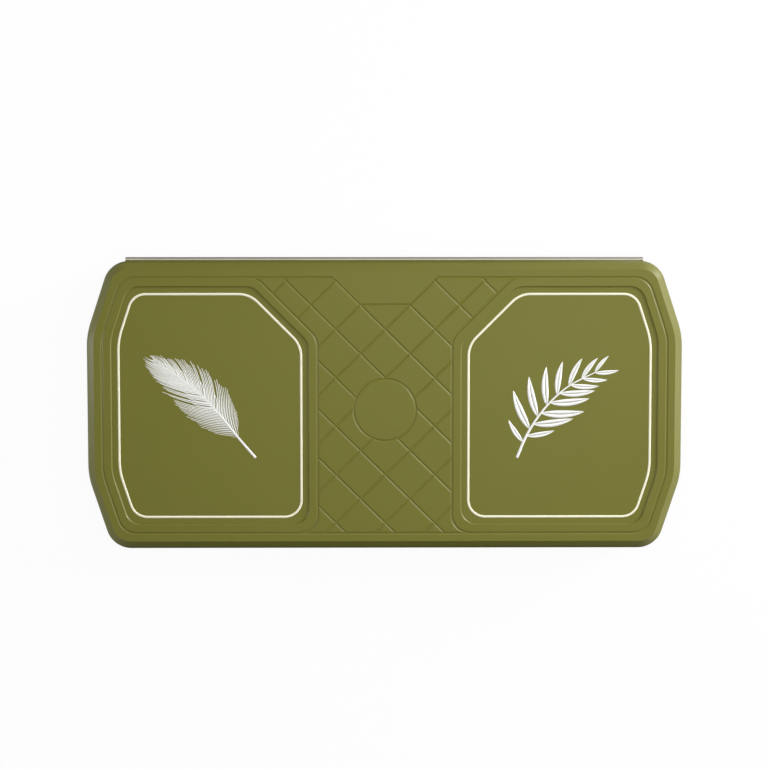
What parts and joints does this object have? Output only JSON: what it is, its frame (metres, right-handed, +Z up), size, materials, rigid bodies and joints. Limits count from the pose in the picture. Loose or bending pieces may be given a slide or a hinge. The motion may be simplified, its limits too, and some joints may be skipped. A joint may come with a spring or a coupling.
{
  "type": "fly box",
  "caption": "Slim hinged box for fishing flies with bevelled lid, sunk panels, diamond grooves, ribbed silicone mats inside and a magnetic closure.",
  "frame": {"origin": "middle of the base's underside, between the two long sides of the case where lid and base meet", "axes": "+X along the box, +Y to the hinged back edge, +Z up through the lid"},
  "size_m": [0.19, 0.0934, 0.026],
  "materials": {
    "shell_plastic": "satin olive green moulded plastic with a fine even grain",
    "pin_steel": "drawn steel wire",
    "mat_silicone": "soft matt pale grey silicone",
    "adhesive_film": "translucent double-sided adhesive film",
    "magnet_nickel": "bright nickel plating",
    "cap_plastic": "satin dark olive moulded plastic"
  },
  "bodies": {
    "base": {"base_shell": "shell_plastic", "hinge_pin_left": "pin_steel", "hinge_pin_right": "pin_steel", "base_mat": "mat_silicone", "base_mat_film": "adhesive_film", "base_magnet_left": "magnet_nickel", "base_magnet_right": "magnet_nickel", "base_magnet_cap_left": "cap_plastic", "base_magnet_cap_right": "cap_plastic"},
    "lid": {"lid_shell": "shell_plastic", "lid_mat_left": "mat_silicone", "lid_mat_right": "mat_silicone", "lid_mat_film_left": "adhesive_film", "lid_mat_film_right": "adhesive_film", "lid_magnet_left": "magnet_nickel", "lid_magnet_right": "magnet_nickel", "lid_magnet_cap_left": "cap_plastic", "lid_magnet_cap_right": "cap_plastic", "tool_magnet": "magnet_nickel", "tool_magnet_cap": "cap_plastic"}
  },
  "joints": [
    {"name": "lid_hinge", "type": "hinge", "parent": "base", "child": "lid", "pos_m": [0, 0.0463, 0.013], "axis": [-1, 0, 0], "range_deg": [0, 180]}
  ]
}
